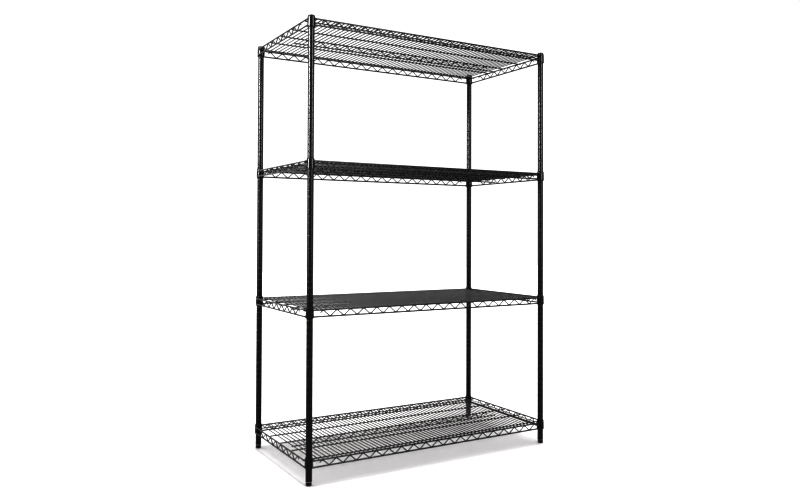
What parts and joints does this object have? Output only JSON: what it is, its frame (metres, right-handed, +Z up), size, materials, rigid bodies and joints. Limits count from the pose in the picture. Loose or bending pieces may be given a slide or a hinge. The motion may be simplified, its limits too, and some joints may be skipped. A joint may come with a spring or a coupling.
{
  "type": "wire shelving rack",
  "caption": "Free-standing rack of welded wire shelves on tapered split sleeves, clipped to round grooved posts with levelling feet.",
  "frame": {"origin": "on the floor, midway between the four posts", "axes": "+X along the long side to the right, +Y to the rear, +Z up"},
  "size_m": [1.2192, 0.6096, 1.8412],
  "materials": {
    "powder_coat": "satin",
    "black_plastic": "matte",
    "zinc_plate": "satin"
  },
  "bodies": {
    "posts": {"post_front_left": "powder_coat", "post_front_right": "powder_coat", "post_rear_left": "powder_coat", "post_rear_right": "powder_coat", "post_cap_front_left": "black_plastic", "post_cap_front_right": "black_plastic", "post_cap_rear_left": "black_plastic", "post_cap_rear_right": "black_plastic", "foot_insert_front_left": "zinc_plate", "foot_insert_front_right": "zinc_plate", "foot_insert_rear_left": "zinc_plate", "foot_insert_rear_right": "zinc_plate", "shelf_1_left_sleeves": "black_plastic", "shelf_1_right_sleeves": "black_plastic", "shelf_2_left_sleeves": "black_plastic", "shelf_2_right_sleeves": "black_plastic", "shelf_3_left_sleeves": "black_plastic", "shelf_3_right_sleeves": "black_plastic", "shelf_4_left_sleeves": "black_plastic", "shelf_4_right_sleeves": "black_plastic"},
    "shelf_1": {"shelf_1_deck_wires": "powder_coat", "shelf_1_support_wires": "powder_coat", "shelf_1_centre_truss": "powder_coat", "shelf_1_front_truss": "powder_coat", "shelf_1_rear_truss": "powder_coat", "shelf_1_left_truss": "powder_coat", "shelf_1_right_truss": "powder_coat", "shelf_1_collars": "powder_coat"},
    "shelf_2": {"shelf_2_deck_wires": "powder_coat", "shelf_2_support_wires": "powder_coat", "shelf_2_centre_truss": "powder_coat", "shelf_2_front_truss": "powder_coat", "shelf_2_rear_truss": "powder_coat", "shelf_2_left_truss": "powder_coat", "shelf_2_right_truss": "powder_coat", "shelf_2_collars": "powder_coat"},
    "shelf_3": {"shelf_3_deck_wires": "powder_coat", "shelf_3_support_wires": "powder_coat", "shelf_3_centre_truss": "powder_coat", "shelf_3_front_truss": "powder_coat", "shelf_3_rear_truss": "powder_coat", "shelf_3_left_truss": "powder_coat", "shelf_3_right_truss": "powder_coat", "shelf_3_collars": "powder_coat"},
    "shelf_4": {"shelf_4_deck_wires": "powder_coat", "shelf_4_support_wires": "powder_coat", "shelf_4_centre_truss": "powder_coat", "shelf_4_front_truss": "powder_coat", "shelf_4_rear_truss": "powder_coat", "shelf_4_left_truss": "powder_coat", "shelf_4_right_truss": "powder_coat", "shelf_4_collars": "powder_coat"},
    "foot_stem_front_left": {"foot_stem_front_left": "zinc_plate"},
    "foot_front_left": {"foot_base_front_left": "powder_coat"},
    "foot_stem_front_right": {"foot_stem_front_right": "zinc_plate"},
    "foot_front_right": {"foot_base_front_right": "powder_coat"},
    "foot_stem_rear_left": {"foot_stem_rear_left": "zinc_plate"},
    "foot_rear_left": {"foot_base_rear_left": "powder_coat"},
    "foot_stem_rear_right": {"foot_stem_rear_right": "zinc_plate"},
    "foot_rear_right": {"foot_base_rear_right": "powder_coat"}
  },
  "joints": [
    {"name": "shelf_1_lift", "type": "slide", "parent": "posts", "child": "shelf_1", "axis": [0, 0, 1], "range_m": [0, 0.5]},
    {"name": "shelf_2_lift", "type": "slide", "parent": "posts", "child": "shelf_2", "axis": [0, 0, 1], "range_m": [0, 0.5]},
    {"name": "shelf_3_lift", "type": "slide", "parent": "posts", "child": "shelf_3", "axis": [0, 0, 1], "range_m": [0, 0.5]},
    {"name": "shelf_4_lift", "type": "slide", "parent": "posts", "child": "shelf_4", "axis": [0, 0, 1], "range_m": [0, 0.1]},
    {"name": "foot_height_front_left", "type": "slide", "parent": "posts", "child": "foot_stem_front_left", "axis": [0, 0, 1], "range_m": [-0.018, 0]},
    {"name": "foot_turn_front_left", "type": "hinge", "parent": "foot_stem_front_left", "child": "foot_front_left", "pos_m": [-0.5906, -0.2858, 0.007], "axis": [0, 0, 1], "range_deg": [-4320, 0]},
    {"name": "foot_height_front_right", "type": "slide", "parent": "posts", "child": "foot_stem_front_right", "axis": [0, 0, 1], "range_m": [-0.018, 0]},
    {"name": "foot_turn_front_right", "type": "hinge", "parent": "foot_stem_front_right", "child": "foot_front_right", "pos_m": [0.5906, -0.2858, 0.007], "axis": [0, 0, 1], "range_deg": [-4320, 0]},
    {"name": "foot_height_rear_left", "type": "slide", "parent": "posts", "child": "foot_stem_rear_left", "axis": [0, 0, 1], "range_m": [-0.018, 0]},
    {"name": "foot_turn_rear_left", "type": "hinge", "parent": "foot_stem_rear_left", "child": "foot_rear_left", "pos_m": [-0.5906, 0.2858, 0.007], "axis": [0, 0, 1], "range_deg": [-4320, 0]},
    {"name": "foot_height_rear_right", "type": "slide", "parent": "posts", "child": "foot_stem_rear_right", "axis": [0, 0, 1], "range_m": [-0.018, 0]},
    {"name": "foot_turn_rear_right", "type": "hinge", "parent": "foot_stem_rear_right", "child": "foot_rear_right", "pos_m": [0.5906, 0.2858, 0.007], "axis": [0, 0, 1], "range_deg": [-4320, 0]}
  ],
  "couplings": [
    {"joint": "foot_height_front_left", "follows": "foot_turn_front_left", "m_per_rad": 0.00023873},
    {"joint": "foot_height_front_right", "follows": "foot_turn_front_right", "m_per_rad": 0.00023873},
    {"joint": "foot_height_rear_left", "follows": "foot_turn_rear_left", "m_per_rad": 0.00023873},
    {"joint": "foot_height_rear_right", "follows": "foot_turn_rear_right", "m_per_rad": 0.00023873}
  ]
}
